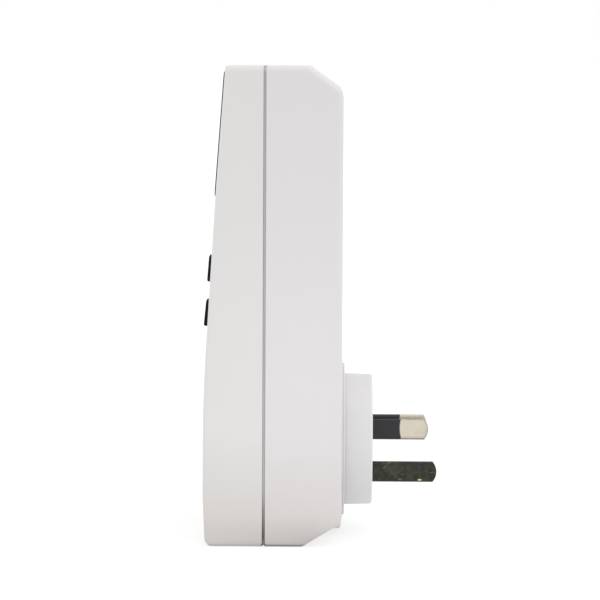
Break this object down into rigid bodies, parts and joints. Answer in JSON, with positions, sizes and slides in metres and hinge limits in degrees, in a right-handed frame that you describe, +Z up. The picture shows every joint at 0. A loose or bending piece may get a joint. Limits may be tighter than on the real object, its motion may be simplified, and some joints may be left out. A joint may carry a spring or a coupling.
{
  "type": "plug in power meter",
  "caption": "Plug-in mains power meter with a three-blade plug behind, an outlet, a black display panel and push buttons in front.",
  "frame": {"origin": "centre of the plug face that meets the wall outlet", "axes": "+Y along the plug blades into the wall, +Z up, +X to the right seen from the front"},
  "size_m": [0.062, 0.072, 0.1451],
  "materials": {
    "shell_white": "satin",
    "carrier_plastic": "matt",
    "bright_metal": "nickel plated, satin",
    "dark_metal": "dark oxidised",
    "sleeve_plastic": "satin",
    "panel_black": "gloss",
    "clear_lens": "clear",
    "lcd": "gloss",
    "diffuser": "milky",
    "strip_rubber": "matt",
    "board": "solder mask",
    "component_black": "matt",
    "can_metal": "bright",
    "capacitor_box": "gloss",
    "capacitor_can": "sleeved",
    "varistor_blue": "lacquered",
    "resistor_body": "lacquered",
    "copper": "tinned copper",
    "brass": "bright",
    "wire_red": "gloss",
    "wire_black": "gloss",
    "screw_steel": "zinc plated",
    "button_black": "satin",
    "plunger_plastic": "matt"
  },
  "bodies": {
    "casing": {"active_blade": "bright_metal", "active_blade_sleeve": "sleeve_plastic", "active_busbar": "copper", "active_sense_wire": "wire_red", "active_socket_contact": "brass", "backup_battery": "can_metal", "board_link": "component_black", "carrier_screws": "screw_steel", "case_screws": "screw_steel", "clock_crystal": "can_metal", "contact_carrier": "carrier_plastic", "contact_strips": "strip_rubber", "controller_chip": "component_black", "current_shunt": "copper", "display_bezel": "panel_black", "display_board": "board", "display_board_screws": "screw_steel", "display_lens": "clear_lens", "dropper_capacitor": "capacitor_box", "earth_blade": "dark_metal", "earth_busbar": "copper", "earth_socket_contact": "brass", "front_shell": "shell_white", "fuse_resistor": "resistor_body", "lcd_frame": "carrier_plastic", "lcd_glass": "lcd", "light_guide": "diffuser", "meter_crystal": "can_metal", "metering_chip": "component_black", "neutral_blade": "bright_metal", "neutral_blade_sleeve": "sleeve_plastic", "neutral_busbar": "copper", "neutral_sense_wire": "wire_black", "neutral_socket_contact": "brass", "plug_base": "shell_white", "plug_clamp_plate": "carrier_plastic", "plug_clamp_screws": "screw_steel", "power_board": "board", "power_board_screws": "screw_steel", "rear_shell": "shell_white", "rectifier_diodes": "component_black", "smoothing_capacitor": "capacitor_can", "socket_face": "shell_white", "switch_cases": "component_black", "varistor": "varistor_blue"},
    "button_1": {"button_cap_1": "button_black", "button_plunger_1": "plunger_plastic"},
    "button_2": {"button_cap_2": "button_black", "button_plunger_2": "plunger_plastic"},
    "button_3": {"button_cap_3": "button_black", "button_plunger_3": "plunger_plastic"},
    "button_4": {"button_cap_4": "button_black", "button_plunger_4": "plunger_plastic"}
  },
  "joints": [
    {"name": "button_1_press", "type": "slide", "parent": "casing", "child": "button_1", "axis": [0, 0.9982, -0.0599], "range_m": [0, 0.0006], "stiffness_N_per_m": 1200},
    {"name": "button_2_press", "type": "slide", "parent": "casing", "child": "button_2", "axis": [0, 0.9982, -0.0599], "range_m": [0, 0.0006], "stiffness_N_per_m": 1200},
    {"name": "button_3_press", "type": "slide", "parent": "casing", "child": "button_3", "axis": [0, 0.9982, -0.0599], "range_m": [0, 0.0006], "stiffness_N_per_m": 1200},
    {"name": "button_4_press", "type": "slide", "parent": "casing", "child": "button_4", "axis": [0, 0.9982, -0.0599], "range_m": [0, 0.0006], "stiffness_N_per_m": 1200}
  ]
}
